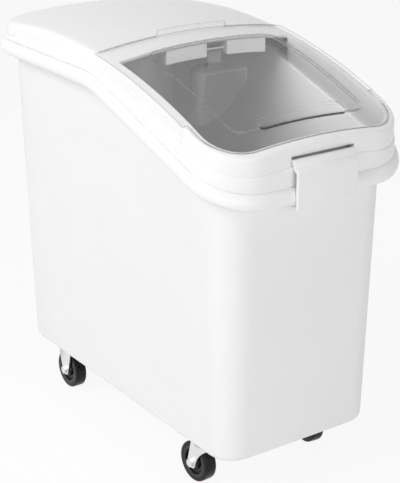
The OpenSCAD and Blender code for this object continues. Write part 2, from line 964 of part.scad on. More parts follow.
module caster_bolts() placed(zinc) {
    at_caster_bolts()
        translate([0, 0, -sheet_t]) {
            translate([0, 0, -bolt_head_t])
                rotate([0, 0, 30])
                    hex(bolt_flats, bolt_head_t);
            translate([0, 0, -bolt_head_t / 2])
                cylinder(h = bolt_l + bolt_head_t / 2, d = bolt_d);
        }
}

bin_body();
caster_pads();
lid_frame();
sliding_lid();
front_latch();
latch_pin();
scoop_hanger();
scoop_pin();
scoop();
caster_bolts();
rigid_bracket(rear_left);  // rear_left_bracket
wheel(rear_left);  // rear_left_wheel
tyre(rear_left);  // rear_left_tyre
bushing(rear_left);  // rear_left_bushing
axle(rear_left);  // rear_left_axle
axle_nut(rear_left);  // rear_left_nut
rigid_bracket(rear_right);  // rear_right_bracket
wheel(rear_right);  // rear_right_wheel
tyre(rear_right);  // rear_right_tyre
bushing(rear_right);  // rear_right_bushing
axle(rear_right);  // rear_right_axle
axle_nut(rear_right);  // rear_right_nut
swivel_plate(front_left);  // front_left_plate
kingpin(front_left);  // front_left_kingpin
swivel_balls(front_left);  // front_left_balls
swivel_fork(front_left);  // front_left_fork
wheel(front_left);  // front_left_wheel
tyre(front_left);  // front_left_tyre
bushing(front_left);  // front_left_bushing
axle(front_left);  // front_left_axle
axle_nut(front_left);  // front_left_nut
swivel_plate(front_right);  // front_right_plate
kingpin(front_right);  // front_right_kingpin
swivel_balls(front_right);  // front_right_balls
swivel_fork(front_right);  // front_right_fork
wheel(front_right);  // front_right_wheel
tyre(front_right);  // front_right_tyre
bushing(front_right);  // front_right_bushing
axle(front_right);  // front_right_axle
axle_nut(front_right);  // front_right_nut
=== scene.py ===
import bpy
import bmesh
import json
import math
from mathutils import Matrix, Vector


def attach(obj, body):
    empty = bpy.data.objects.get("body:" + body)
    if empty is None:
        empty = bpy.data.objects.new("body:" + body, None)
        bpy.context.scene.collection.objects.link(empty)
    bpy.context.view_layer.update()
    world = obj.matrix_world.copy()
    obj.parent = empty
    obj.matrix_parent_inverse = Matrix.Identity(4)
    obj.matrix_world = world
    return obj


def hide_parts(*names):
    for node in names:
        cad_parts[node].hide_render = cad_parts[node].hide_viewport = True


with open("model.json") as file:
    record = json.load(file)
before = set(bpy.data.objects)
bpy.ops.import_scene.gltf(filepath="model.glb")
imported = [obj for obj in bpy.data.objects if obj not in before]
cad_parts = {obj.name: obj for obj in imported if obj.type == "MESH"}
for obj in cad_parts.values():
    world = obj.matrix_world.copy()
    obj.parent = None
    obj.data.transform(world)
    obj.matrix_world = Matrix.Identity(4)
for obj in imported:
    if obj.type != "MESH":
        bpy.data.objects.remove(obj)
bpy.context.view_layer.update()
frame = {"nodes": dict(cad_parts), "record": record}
nodes = frame["nodes"]
print("frame loaded:", len(nodes), "nodes")

mm = 0.001
shiftY = 2.3  # the bin's own middle lies this far behind the origin, in mm like the gaps below
hair = 0.01  # too little to count as a distance
mergeGap = 0.01  # points of a solid's copy closer than this become one
seamGap = 0.005  # the same for a piece drawn here
cutGap = 0.0001  # points this close to a cutting plane lie on it


# finishes: a noise is its scale, detail and roughness, a bump its strength and depth

noiseLow, noiseHigh = 0.3, 0.7  # the noise values at which a finish reaches its two ends
whiteIor, clearIor = 1.5, 1.58


def startMaterial(name):
    mat = bpy.data.materials.new(name)
    mat.use_nodes = True
    tree = mat.node_tree
    tree.nodes.clear()
    out = tree.nodes.new("ShaderNodeOutputMaterial")
    shader = tree.nodes.new("ShaderNodeBsdfPrincipled")
    tree.links.new(shader.outputs["BSDF"], out.inputs["Surface"])
    coords = tree.nodes.new("ShaderNodeTexCoord")
    return mat, tree, shader, coords.outputs["Object"]


def addNoise(tree, place, scale, detail, rough=0.5):
    noise = tree.nodes.new("ShaderNodeTexNoise")
    noise.inputs["Scale"].default_value = scale
    noise.inputs["Detail"].default_value = detail
    noise.inputs["Roughness"].default_value = rough
    tree.links.new(place, noise.inputs["Vector"])
    return noise.outputs["Fac"]


def setTint(tree, shader, value, dark, light):
    ramp = tree.nodes.new("ShaderNodeValToRGB")
    first, last = ramp.color_ramp.elements
    first.position, last.position = noiseLow, noiseHigh
    first.color, last.color = (*dark, 1), (*light, 1)
    tree.links.new(value, ramp.inputs["Fac"])
    tree.links.new(ramp.outputs["Color"], shader.inputs["Base Color"])


def setRoughness(tree, shader, value, low, high):
    spread = tree.nodes.new("ShaderNodeMapRange")
    spread.inputs["From Min"].default_value = noiseLow
    spread.inputs["From Max"].default_value = noiseHigh
    spread.inputs["To Min"].default_value = low
    spread.inputs["To Max"].default_value = high
    tree.links.new(value, spread.inputs["Value"])
    tree.links.new(spread.outputs["Result"], shader.inputs["Roughness"])


def setBump(tree, shader, value, strength, depth):
    bump = tree.nodes.new("ShaderNodeBump")
    bump.inputs["Strength"].default_value = strength
    bump.inputs["Distance"].default_value = depth
    tree.links.new(value, bump.inputs["Height"])
    tree.links.new(bump.outputs["Normal"], shader.inputs["Normal"])


whitePlastics = {
    "whiteTubPlastic": {
        "cloud": (7.0, 2.0), "tints": [(0.922, 0.924, 0.926), (0.942, 0.942, 0.942)],
        "grain": (520.0, 2.0), "rough": (0.36, 0.5), "bump": (0.05, 0.0004)},
    "whiteLidPlastic": {
        "cloud": (9.0, 2.0), "tints": [(0.92, 0.922, 0.925), (0.94, 0.94, 0.94)],
        "grain": (700.0, 2.0), "rough": (0.28, 0.4), "bump": (0.04, 0.0003)},
}


def makeWhitePlastic(name):
    s = whitePlastics[name]
    mat, tree, shader, place = startMaterial(name)
    grain = addNoise(tree, place, *s["grain"])
    setTint(tree, shader, addNoise(tree, place, *s["cloud"]), *s["tints"])
    setRoughness(tree, shader, grain, *s["rough"])
    setBump(tree, shader, grain, *s["bump"])
    shader.inputs["IOR"].default_value = whiteIor
    return mat


# the edge and the rim are painted darker than the sheet: painted shade for the dark lines that clear plastic
# shows where the eye looks along it
clearPlastics = {
    "clearLidPlastic": {
        "haze": (14.0, 3.0), "tints": [(0.9, 0.905, 0.91), (0.95, 0.95, 0.95)],
        "rough": (0.06, 0.12), "alpha": 0.05},
    "clearLidEdgeShade": {
        "haze": (60.0, 3.0), "tints": [(0.3, 0.31, 0.32), (0.42, 0.425, 0.43)],
        "rough": (0.1, 0.2), "alpha": 0.5},
    "clearLidRimShade": {
        "haze": (40.0, 3.0), "tints": [(0.46, 0.465, 0.47), (0.56, 0.56, 0.565)],
        "rough": (0.1, 0.2), "alpha": 0.36},
    "clearScoopPlastic": {
        "haze": (30.0, 3.0), "tints": [(0.86, 0.87, 0.88), (0.94, 0.94, 0.94)],
        "rough": (0.1, 0.2), "alpha": 0.09},
    # the scoop's lip: a lighter, less clear tint on its forward faces, a painted highlight
    "scoopLip": {
        "haze": (80.0, 3.0), "tints": [(0.9, 0.9, 0.9), (0.96, 0.96, 0.96)],
        "rough": (0.12, 0.24), "alpha": 0.2},
    "gripShade": {
        "haze": (60.0, 3.0), "tints": [(0.02, 0.02, 0.021), (0.04, 0.04, 0.041)],
        "rough": (0.2, 0.3), "footAlpha": 0.95, "topAlpha": 0.12},
}


def startClearPlastic(name):
    s = clearPlastics[name]
    mat, tree, shader, place = startMaterial(name)
    haze = addNoise(tree, place, *s["haze"])
    setTint(tree, shader, haze, *s["tints"])
    setRoughness(tree, shader, haze, *s["rough"])
    shader.inputs["IOR"].default_value = clearIor
    return mat, tree, shader, place


def makeClearPlastic(name):
    mat, tree, shader, place = startClearPlastic(name)
    shader.inputs["Alpha"].default_value = clearPlastics[name]["alpha"]
    return mat


def makeGripShade(middle, low, high):
    # the grip's front face: dark along its foot, where the step shuts the light in, and clear above
    s = clearPlastics["gripShade"]
    mat, tree, shader, place = startClearPlastic("gripShade")
    far = tree.nodes.new("ShaderNodeVectorMath")
    far.operation = "DISTANCE"
    far.inputs[1].default_value = middle
    tree.links.new(place, far.inputs[0])
    fade = tree.nodes.new("ShaderNodeMapRange")
    fade.inputs["From Min"].default_value = low
    fade.inputs["From Max"].default_value = high
    fade.inputs["To Min"].default_value = s["footAlpha"]
    fade.inputs["To Max"].default_value = s["topAlpha"]
    tree.links.new(far.outputs["Value"], fade.inputs["Value"])
    tree.links.new(fade.outputs["Result"], shader.inputs["Alpha"])
    return mat


zincSettings = {
    "spangle": (260.0, 4.0, 0.6), "tints": [(0.76, 0.765, 0.775), (0.9, 0.9, 0.905)],
    "brush": (1400.0, 2.0), "rough": (0.26, 0.42), "bump": (0.06, 0.0002),
}


def makeZincPlate(s):
    mat, tree, shader, place = startMaterial("zincPlate")
    brush = addNoise(tree, place, *s["brush"])
    setTint(tree, shader, addNoise(tree, place, *s["spangle"]), *s["tints"])
    setRoughness(tree, shader, brush, *s["rough"])
    setBump(tree, shader, brush, *s["bump"])
    shader.inputs["Metallic"].default_value = 1.0
    return mat


wheelBlacks = {
    "blackWheelPlastic": {
        "dust": (90.0, 4.0, 0.6), "tints": [(0.008, 0.008, 0.009), (0.018, 0.018, 0.019)],
        "rough": (0.16, 0.3), "gloss": 0.4, "grain": (900.0, 2.0), "bump": (0.06, 0.0002)},
    "blackTread": {
        "dust": (160.0, 5.0, 0.65), "tints": [(0.004, 0.004, 0.004), (0.012, 0.012, 0.012)],
        "rough": (0.24, 0.4), "gloss": 0.2, "grain": (1200.0, 3.0), "bump": (0.12, 0.0003)},
}


def makeWheelBlack(name):
    s = wheelBlacks[name]
    mat, tree, shader, place = startMaterial(name)
    dust = addNoise(tree, place, *s["dust"])
    setTint(tree, shader, dust, *s["tints"])
    setRoughness(tree, shader, dust, *s["rough"])
    setBump(tree, shader, addNoise(tree, place, *s["grain"]), *s["bump"])
    shader.inputs["Specular IOR Level"].default_value = s["gloss"]
    return mat


whiteTubPlastic = makeWhitePlastic("whiteTubPlastic")
whiteLidPlastic = makeWhitePlastic("whiteLidPlastic")
clearLidPlastic = makeClearPlastic("clearLidPlastic")
# the lid's edge and rim tints are painted shade, the scoop's lip tint a painted highlight
clearLidEdgeShade = makeClearPlastic("clearLidEdgeShade")
clearLidRimShade = makeClearPlastic("clearLidRimShade")
clearScoopPlastic = makeClearPlastic("clearScoopPlastic")
scoopLip = makeClearPlastic("scoopLip")
zincPlate = makeZincPlate(zincSettings)
blackWheelPlastic = makeWheelBlack("blackWheelPlastic")
blackTread = makeWheelBlack("blackTread")
print("finishes made")


# shared helpers

softSettings = {"flatTurn": 0.6, "hardTurn": 35, "shortest": 2.0, "segments": 2, "shadeTurn": 38}
curveReach = 0.48  # the share of an edge that the curve at one of its ends may take


def blend(start, end, share):
    return start + (end - start) * share


def stepsDown(start, stop, step):
    # even steps down from the start, without it, as far as the stop
    count = math.ceil((start - stop) / step)
    return [start - step * i for i in range(1, count)]


def quarterTurn(middle, radius, start, steps):
    # points along a quarter of a circle, each with its outward direction
    points = []
    for i in range(steps + 1):
        a = math.radians(start + 90 * i / steps)
        out = Vector((math.cos(a), math.sin(a)))
        points.append((middle + out * radius, out))
    return points


def roundCorners(points, radii, steps):
    # a polyline with each corner that has a radius drawn as a short curve
    out = [points[0]]
    for before, corner, after, radius in zip(points, points[1:], points[2:], radii):
        if radius <= 0:
            out.append(corner)
            continue
        back, ahead = before - corner, after - corner
        start = corner + back.normalized() * min(radius, back.length * curveReach)
        end = corner + ahead.normalized() * min(radius, ahead.length * curveReach)
        for i in range(steps + 1):
            s = i / steps
            out.append(start * (1 - s) ** 2 + corner * (2 * s * (1 - s)) + end * s ** 2)
    out.append(points[-1])
    return out


def addObject(name, data):
    thing = bpy.data.objects.new(name, data)
    bpy.context.scene.collection.objects.link(thing)
    return thing


def camelName(name):
    words = name.split("_")
    return words[0] + "".join(w.title() for w in words[1:])


def isHard(edge, turn):
    # an edge with one face counts as flat
    return edge.calc_face_angle(0) > math.radians(turn)


def finishPiece(bm, name, body, material, stands, turn=40):
    mesh = bpy.data.meshes.new(name)
    for face in bm.faces:
        face.smooth = True
    for edge in bm.edges:
        edge.smooth = not isHard(edge, turn)
    bm.to_mesh(mesh)
    bm.free()
    piece = addObject(name, mesh)
    mesh.materials.append(material)
    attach(piece, body)
    if stands:
        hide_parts(*stands)
    return piece


def copyNode(name):
    bm = bmesh.new()
    bm.from_mesh(nodes[name].data)
    bmesh.ops.remove_doubles(bm, verts=bm.verts, dist=mergeGap * mm)
    return bm


def closeDrawn(bm):
    bmesh.ops.remove_doubles(bm, verts=bm.verts, dist=seamGap * mm)
    bmesh.ops.recalc_face_normals(bm, faces=bm.faces)


def roundEdges(bm, edges, size, segments):
    bmesh.ops.bevel(bm, geom=edges, offset=size * mm, segments=segments, profile=0.5,
                    affect="EDGES", material=-1, clamp_overlap=True)


def softenNode(name, finish, soft):
    # a merged copy of a solid whose long hard edges are rounded off
    s = softSettings
    bm = copyNode(name)
    bmesh.ops.dissolve_limit(bm, angle_limit=math.radians(s["flatTurn"]), verts=bm.verts, edges=bm.edges)
    hard = [e for e in bm.edges if isHard(e, s["hardTurn"]) and e.calc_length() > s["shortest"] * mm]
    roundEdges(bm, hard, soft, s["segments"])
    body = next(b for b, held in frame["record"]["behaviour"]["bodies"].items() if name in held)
    return finishPiece(bm, camelName(name), body, finish, [name], s["shadeTurn"])


def cutAway(piece, tool):
    # takes the tool's form out of the piece for good, and splits the faces of many corners that it leaves
    mesh = bpy.data.meshes.new("cutTool")
    tool.to_mesh(mesh)
    tool.free()
    cutter = addObject("cutTool", mesh)
    carve = piece.modifiers.new("carve", "BOOLEAN")
    carve.object = cutter
    carve.operation = "DIFFERENCE"
    carve.solver = "EXACT"
    graph = bpy.context.evaluated_depsgraph_get()
    made = bpy.data.meshes.new_from_object(piece.evaluated_get(graph))
    piece.modifiers.clear()
    piece.data = made
    bm = bmesh.new()
    bm.from_mesh(made)
    bmesh.ops.triangulate(bm, faces=[f for f in bm.faces if len(f.verts) > 4])
    bm.to_mesh(made)
    bm.free()
    bpy.data.objects.remove(cutter)


def drawAlong(columns):
    # a profile line is extruded from column to column, all the way round
    bm = bmesh.new()
    chain = [bm.verts.new(p * mm) for p in columns[0]]
    for a, b in zip(chain, chain[1:]):
        bm.edges.new((a, b))
    for column in columns[1:] + columns[:1]:
        edges = [bm.edges.get((a, b)) for a, b in zip(chain, chain[1:])]
        old = set(bm.verts)
        bmesh.ops.extrude_edge_only(bm, edges=edges)
        fresh = []
        for vert in chain:
            fresh += [e.other_vert(vert) for e in vert.link_edges if e.other_vert(vert) not in old]
        for vert, place in zip(fresh, column):
            vert.co = place * mm
        chain = fresh
    closeDrawn(bm)
    return bm


# tub

tubSettings = {
    "joinTurn": 0.5, "joinShape": 1.2, "hardTurn": 50, "edgeRound": 0.9, "edgeSegments": 2, "shadeTurn": 42,
}


def makeTub(s):
    bm = copyNode("bin_body")
    bmesh.ops.join_triangles(bm, faces=bm.faces, angle_face_threshold=s["joinTurn"],
                             angle_shape_threshold=s["joinShape"])
    hard = [e for e in bm.edges if isHard(e, s["hardTurn"])]
    roundEdges(bm, hard, s["edgeRound"], s["edgeSegments"])
    return finishPiece(bm, "tub", "bin", whiteTubPlastic, ["bin_body"], s["shadeTurn"])


makeTub(tubSettings)
print("tub made")


# lid frame with its deck, drawn as one profile round the rim

frameSettings = {
    "floorW": 300, "floorL": 634, "floorR": 46,
    "rimH": 25, "rimZ": 630, "rimTilt": 18, "rimBendY": 5, "rimBlend": 40, "seat": 0.3,
    "domeR": 1100, "domeTop": 709, "domeY": 135,
    # how far the frame, its front band and its deck stand out from the floor's outline
    "frameD": 34, "bandD": 32, "deckD": 28.5, "bandY": -251.6, "bandLift": 3.4, "skirt": 22, "leastH": 6,
    # how far in the deck's edge curves, beside the window and on the rear deck
    "sideEdge": 3.4, "deckEdge": 16, "sideFoot": 4.2, "deckFoot": 21, "deckRun": 60,
    "windowHalf": 165, "windowFront": -330, "windowRear": -51, "windowR": 56,
    # where on the window's rear edge the columns of the rear end and of its corners stop
    "rearHalf": 70, "rearCorner": 100,
    "pocketHalf": 174.9, "pocketFront": -337.9, "pocketR": 65.4, "flange": 5, "wall": 2.4,
    "grooveIn": 1.2, "grooveH": 1.2, "seatGrooveShare": 1.3, "ledgeGrooveShare": 1.4,
    "rounds": {"ledge": 3.2, "foot": 0.5, "groove": 0.6, "top": 4.6, "pocket": 1.2, "pocketFoot": 0.6,
               "window": 1.4, "sideTop": 3.2, "deckTop": 7.0},
    "cornerSteps": 14, "deckSteps": 16, "curveSteps": 4, "shadeTurn": 55,
    "spacing": {"side": 15, "window": 12, "end": 13, "windowCorner": 2, "cornerGap": 3,
                "bandGap": 6, "behindBand": 0.5, "insideBand": 0.7, "alongBand": 8},
    "slot": {"w": 118, "back": -341.25, "low": 571.23, "high": 585.68, "depth": 20},
    "lug": {"w": 11, "x": 64.5, "front": -348.4, "back": -337.5, "low": 567.4, "high": 585.3,
            "soft": 0.8, "segments": 2},
}


def framePlace(flat, z):
    return Vector((flat.x, flat.y + shiftY, z))


def rimHeight(s, y):
    # level at the rear and falling to the front, with a soft bend between
    ahead, half = s["rimBendY"] - y, s["rimBlend"] / 2
    if ahead <= -half:
        drop = 0
    elif ahead < half:
        drop = (ahead + half) ** 2 / (2 * s["rimBlend"])
    else:
        drop = ahead
    return s["rimZ"] - math.tan(math.radians(s["rimTilt"])) * drop


def seatHeight(s, flat):
    return rimHeight(s, flat.y) + s["rimH"] + s["seat"]


def domeHeight(s, flat, lift):
    r = s["domeR"] + lift
    return s["domeTop"] - s["domeR"] + math.sqrt(r * r - flat.x * flat.x - (flat.y - s["domeY"]) ** 2)


def ledgeHeight(s, flat):
    return max(domeHeight(s, flat, -s["skirt"]), rimHeight(s, flat.y) + s["rimH"] + s["leastH"])


def onDome(s, flat, lift=0):
    return framePlace(flat, domeHeight(s, flat, lift))


def sidePlaces(s):
    # along one long side from rear to front, close together at the window's corner and where the band starts
    gap, rear, band = s["spacing"], s["windowRear"], s["bandY"]
    places = stepsDown(s["floorL"] / 2 - s["floorR"], rear + gap["cornerGap"], gap["side"])
    places += [rear + gap["windowCorner"], rear, rear - gap["windowCorner"]]
    places += stepsDown(places[-1], band + gap["bandGap"], gap["window"])
    return places + [band + gap["behindBand"], band - gap["insideBand"], band - gap["alongBand"]]


def frameStations(s):
    # places round the floor's outline: the point itself, its outward direction, the window's point
    # and, in the front band, the pocket's point
    endX, sideY = s["floorW"] / 2 - s["floorR"], s["floorL"] / 2 - s["floorR"]
    windowX, pocketX = s["windowHalf"] - s["windowR"], s["pocketHalf"] - s["pocketR"]
    windowY, pocketY = s["windowFront"] + s["windowR"], s["pocketFront"] + s["pocketR"]
    rear = s["windowRear"]
    stations = []

    def corner(sx, sy, start):
        for base, out in quarterTurn(Vector((sx * endX, sy * sideY)), s["floorR"], start, s["cornerSteps"]):
            if sy > 0:
                window = Vector((sx * blend(s["rearHalf"], s["rearCorner"], abs(out.x)), rear))
                pocket = None
            else:
                window = Vector((sx * windowX, windowY)) + out * s["windowR"]
                pocket = Vector((sx * pocketX, pocketY)) + out * s["pocketR"]
            stations.append((base, out, window, pocket))

    def side(sx, places):
        for y in places:
            base = Vector((sx * s["floorW"] / 2, y))
            if y >= rear:
                share = (y - rear) / (sideY - rear)
                window = Vector((sx * blend(s["windowHalf"], s["rearCorner"], share), rear))
            else:
                share = (y - rear) / (-sideY - rear)
                window = Vector((sx * s["windowHalf"], blend(rear, windowY, share)))
            pocket = Vector((sx * s["pocketHalf"], y)) if y < s["bandY"] else None
            stations.append((base, Vector((sx, 0)), window, pocket))

    def end(sy, places):
        for x in places:
            base, share = Vector((x, sy * s["floorL"] / 2)), x / endX
            if sy > 0:
                window = Vector((share * s["rearHalf"], rear))
                pocket = None
            else:
                window = Vector((share * windowX, s["windowFront"]))
                pocket = Vector((share * pocketX, s["pocketFront"]))
            stations.append((base, Vector((0, sy)), window, pocket))

    down, across = sidePlaces(s), stepsDown(endX, -endX, s["spacing"]["end"])
    corner(1, 1, 0)
    end(1, across)
    corner(-1, 1, 90)
    side(-1, down)
    corner(-1, -1, 180)
    end(-1, across[::-1])
    corner(1, -1, 270)
    side(1, down[::-1])
    return stations


def frameColumn(s, station):
    # the section at one place: from its seat on the rim up the outside, then in over the top to the window
    base, out, window, pocket = station
    inBand = pocket is not None
    lift = s["bandLift"] if inBand else 0
    outer = base + out * s["frameD"]
    upper = base + out * (s["bandD"] if inBand else s["deckD"])
    onDeck = min(max((base.y - s["windowRear"]) / s["deckRun"], 0), 1)
    edge = foot = pocket
    if not inBand:
        edge = upper - out * blend(s["sideEdge"], s["deckEdge"], onDeck)
        foot = upper - out * blend(s["sideFoot"], s["deckFoot"], onDeck)
    atRear = window.y >= s["windowRear"] - hair
    low = domeHeight(s, window, -s["flange"]) if atRear else seatHeight(s, window)
    seat, ledge, groove = seatHeight(s, outer), ledgeHeight(s, upper), s["grooveH"]
    outerIn, upperIn = outer - out * s["grooveIn"], upper - out * s["grooveIn"]
    points = [
        framePlace(outerIn, seat),
        framePlace(outerIn, seat + groove),
        framePlace(outer, seat + groove * s["seatGrooveShare"]),
        framePlace(outer, ledgeHeight(s, outer)),
        framePlace(upperIn, ledge),
        framePlace(upperIn, ledge + groove),
        framePlace(upper, ledge + groove * s["ledgeGrooveShare"]),
        onDome(s, upper, lift),
        onDome(s, edge, lift),
        onDome(s, foot),
    ]
    for i in range(1, s["deckSteps"]):
        points.append(onDome(s, foot.lerp(window, i / s["deckSteps"])))
    points += [onDome(s, window), framePlace(window, low)]
    r = s["rounds"]
    top = r["top"] if inBand else blend(r["sideTop"], r["deckTop"], onDeck)
    radii = [0, r["groove"], r["ledge"], r["foot"], 0, r["groove"], top, r["pocket"], r["pocketFoot"]]
    radii += [0] * (s["deckSteps"] - 1) + [r["window"]]
    return roundCorners(points, radii, s["curveSteps"])


def openSlot(slot, bm):
    # cuts the latch's slot out of the front band's sheet
    planes = [((side * slot["w"] / 2, 0, 0), (1, 0, 0)) for side in (-1, 1)]
    planes += [((0, 0, slot[level]), (0, 0, 1)) for level in ("low", "high")]
    reach = (slot["back"] + slot["depth"] + shiftY) * mm
    for co, no in planes:
        near = [f for f in bm.faces if f.calc_center_median().y < reach]
        edges = list(dict.fromkeys(e for f in near for e in f.edges))
        verts = list(dict.fromkeys(v for f in near for v in f.verts))
        bmesh.ops.bisect_plane(bm, geom=near + edges + verts, plane_co=Vector(co) * mm, plane_no=no,
                               dist=cutGap * mm)
    inside = []
    for f in bm.faces:
        at = f.calc_center_median() / mm
        ahead = at.y < slot["back"] + shiftY
        if ahead and abs(at.x) < slot["w"] / 2 and slot["low"] < at.z < slot["high"]:
            inside.append(f)
    bmesh.ops.delete(bm, geom=inside, context="FACES")


def makeLidFrame(s):
    bm = drawAlong([frameColumn(s, station) for station in frameStations(s)])
    top = max(bm.faces, key=lambda f: f.calc_center_median().z)
    if top.normal.z < 0:
        bmesh.ops.reverse_faces(bm, faces=bm.faces)
    openSlot(s["slot"], bm)
    piece = finishPiece(bm, "lidFrame", "bin", whiteLidPlastic, ["lid_frame"],
                        s["shadeTurn"])
    wall = piece.modifiers.new("wall", "SOLIDIFY")
    wall.thickness = s["wall"] * mm
    wall.offset = -1
    return piece


def makeLatchLugs(lug):
    # the two blocks inside the front band that hold the latch's pin
    size = Vector((lug["w"], lug["back"] - lug["front"], lug["high"] - lug["low"]))
    y, z = (lug["front"] + lug["back"]) / 2 + shiftY, (lug["low"] + lug["high"]) / 2
    bm = bmesh.new()
    for sx in (-1, 1):
        block = bmesh.ops.create_cube(bm, size=1)["verts"]
        bmesh.ops.scale(bm, vec=size * mm, verts=block)
        bmesh.ops.translate(bm, verts=block, vec=Vector((sx * lug["x"], y, z)) * mm)
    roundEdges(bm, bm.edges[:], lug["soft"], lug["segments"])
    return finishPiece(bm, "latchLugs", "bin", whiteLidPlastic, [])


lidFrame = makeLidFrame(frameSettings)
makeLatchLugs(frameSettings["lug"])
print("lid frame made:", len(lidFrame.data.polygons), "faces")


# sliding lid and scoop: the solids' forms, with the clear sheet's edges in a tint of their own, painted
# darker as painted shade, and the scoop's lip painted lighter as a painted highlight

lidSettings = {
    "shadeTurn": 30, "steep": 0.72, "skirtX": 172.5,
    "over": 3.4,  # the sheet's upper face above the dome
    "tabX": 66.5, "tabY": -13, "tabTopR": 1108, "tabFacing": 0.8,
    "gripX": 82, "gripFront": -292, "gripRear": -266, "gripFace": -284, "gripFacing": 0.5,
    "shadeLow": 2.6, "shadeHigh": 3.6,
    # how far the panel and the grip move, by place along the lid
    "spreadY": [(-400, 0), (-334, 0), (-291, -14), (-267, -14), (-150, -5), (-62, 0), (100, 0)],
    # and the share of that move, by distance from the middle line
    "spreadShares": [(0, 1), (126, 1), (138, 0), (200, 0)],
}
beadSettings = {
    "r": 0.75, "in": 0.9, "half": 182, "frontHalf": 173.5, "rear": -8, "notch": -250, "front": -336.5,
    "corner": 64, "sides": 6, "cornerSteps": 12, "alongSteps": 20, "shadeTurn": 70,
}
scoopSettings = {"shadeTurn": 30, "lipHighlightFacing": 0.985}
hangerSettings = {"soft": 0.9}


def readTable(table, value):
    # the table's value between two of its places, and nothing beyond its ends
    for (v0, d0), (v1, d1) in zip(table, table[1:]):
        if v0 <= value <= v1:
            return blend(d0, d1, (value - v0) / (v1 - v0))
    return 0


def spreadPanels(s, bm, middle):
    # the raised panel and the grip move forward over the dome, each point keeping its height above it
    for vert in bm.verts:
        radius = (vert.co - middle).length
        share = readTable(s["spreadShares"], abs(vert.co.x) / mm)
        vert.co.y += share * readTable(s["spreadY"], vert.co.y / mm - shiftY) * mm
        across = (vert.co - middle).to_2d().length
        vert.co.z = middle.z + math.sqrt(radius * radius - across * across)


def sheetOrPaintedShade(s, face, middle):
    # 0 for the clear sheet, 1 for its edges and steps, painted darker as painted shade, 2 for the grip's
    # front face, with a painted shadow along its foot
    at = face.calc_center_median()
    x, y = abs(at.x) / mm, at.y / mm - shiftY
    up = face.normal.dot((at - middle).normalized())
    onTab = x < s["tabX"] and y > s["tabY"]
    if onTab and up > s["steep"] and (at - middle).length > s["tabTopR"] * mm:
        return 1
    if x > s["skirtX"] or abs(up) > s["steep"]:
        return 0
    if x < s["gripX"] and s["gripFront"] < y < s["gripRear"]:
        if face.normal.y < -s["gripFacing"] and y < s["gripFace"]:
            return 2
        return 1 if face.normal.x * at.x > s["gripFacing"] * abs(at.x) else 0
    return 0 if onTab and abs(face.normal.y) > s["tabFacing"] else 1


def makeSlidingLid(s, dome):
    bm = copyNode("sliding_lid")
    middle = Vector((0, (dome["domeY"] + shiftY) * mm, (dome["domeTop"] - dome["domeR"]) * mm))
    for face in bm.faces:
        face.material_index = sheetOrPaintedShade(s, face, middle)
    spreadPanels(s, bm, middle)
    piece = finishPiece(bm, "slidingLid", "lid", clearLidPlastic, ["sliding_lid"],
                        s["shadeTurn"])
    sheet = dome["domeR"] + s["over"]
    shade = makeGripShade(middle, (sheet + s["shadeLow"]) * mm, (sheet + s["shadeHigh"]) * mm)
    # the edges' painted shade and the grip's painted shadow
    piece.data.materials.append(clearLidEdgeShade)
    piece.data.materials.append(shade)
    return piece


def beadPath(b):
    # the lid's outline a little inside its edge, with the outward direction at each point
    half, narrow, r = b["half"] - b["in"], b["frontHalf"] - b["in"], b["corner"] - b["in"]
    rear, notch, front = b["rear"] - b["in"], b["notch"] + b["in"], b["front"] + b["in"]

    def straight(start, end, out):
        steps = b["alongSteps"]
        return [(Vector(start).lerp(Vector(end), i / steps), Vector(out)) for i in range(steps + 1)]

    def corner(sx, start):
        return quarterTurn(Vector((sx * (narrow - r), front + r)), r, start, b["cornerSteps"])

    path = straight((-half, rear), (-half, notch), (-1, 0))
    path.append((Vector((-narrow, notch)), Vector((-1, -1)).normalized()))
    path += corner(-1, 180)
    path += straight((r - narrow, front), (narrow - r, front), (0, -1))[1:-1]
    path += corner(1, 270)
    path.append((Vector((narrow, notch)), Vector((1, -1)).normalized()))
    path += straight((half, notch), (half, rear), (1, 0))
    path += straight((half, rear), (-half, rear), (0, 1))[1:-1]
    return path


def makeLidRim(b, over, dome):
    # a thin bead along the sheet's outer edge in a darker grey, painted shade which reads as the edge's line
    columns = []
    for flat, out in beadPath(b):
        top = domeHeight(dome, flat, over - b["in"])
        column = []
        for i in range(b["sides"] + 1):
            a = math.tau * i / b["sides"]
            column.append(framePlace(flat + out * (b["r"] * math.cos(a)), top + b["r"] * math.sin(a)))
        columns.append(column)
    return finishPiece(drawAlong(columns), "lidRim", "lid", clearLidRimShade, [], b["shadeTurn"])


def makeScoop(s):
    bm = copyNode("scoop")
    for face in bm.faces:
        # faces looking straight forward get the lip's painted highlight
        if face.normal.y < -s["lipHighlightFacing"]:
            face.material_index = 1
    piece = finishPiece(bm, "scoopPiece", "scoop", clearScoopPlastic, ["scoop"],
                        s["shadeTurn"])
    piece.data.materials.append(scoopLip)
    return piece


makeSlidingLid(lidSettings, frameSettings)
makeLidRim(beadSettings, lidSettings["over"], frameSettings)
makeScoop(scoopSettings)
softenNode("scoop_hanger", whiteLidPlastic, hangerSettings["soft"])
print("lid and scoop made")


# front latch: one profile drawn out sideways, then softened and bored for its pin

latchSettings = {
    "w": 116, "pinY": -346.75, "pinZ": 576.33, "knuckle": 4.5, "knuckleSteps": 8,
    "front": -363.6, "back": -350.6, "shoulder": 566.3, "low": 507.13, "wall": 4, "neck": 3.5,
    "faceSoft": 2.6, "faceSegments": 5, "hardTurn": 36, "soft": 0.9, "segments": 3, "shadeTurn": 50,
    "bore": 2.05, "boreSides": 32, "drillLength": 200,
}


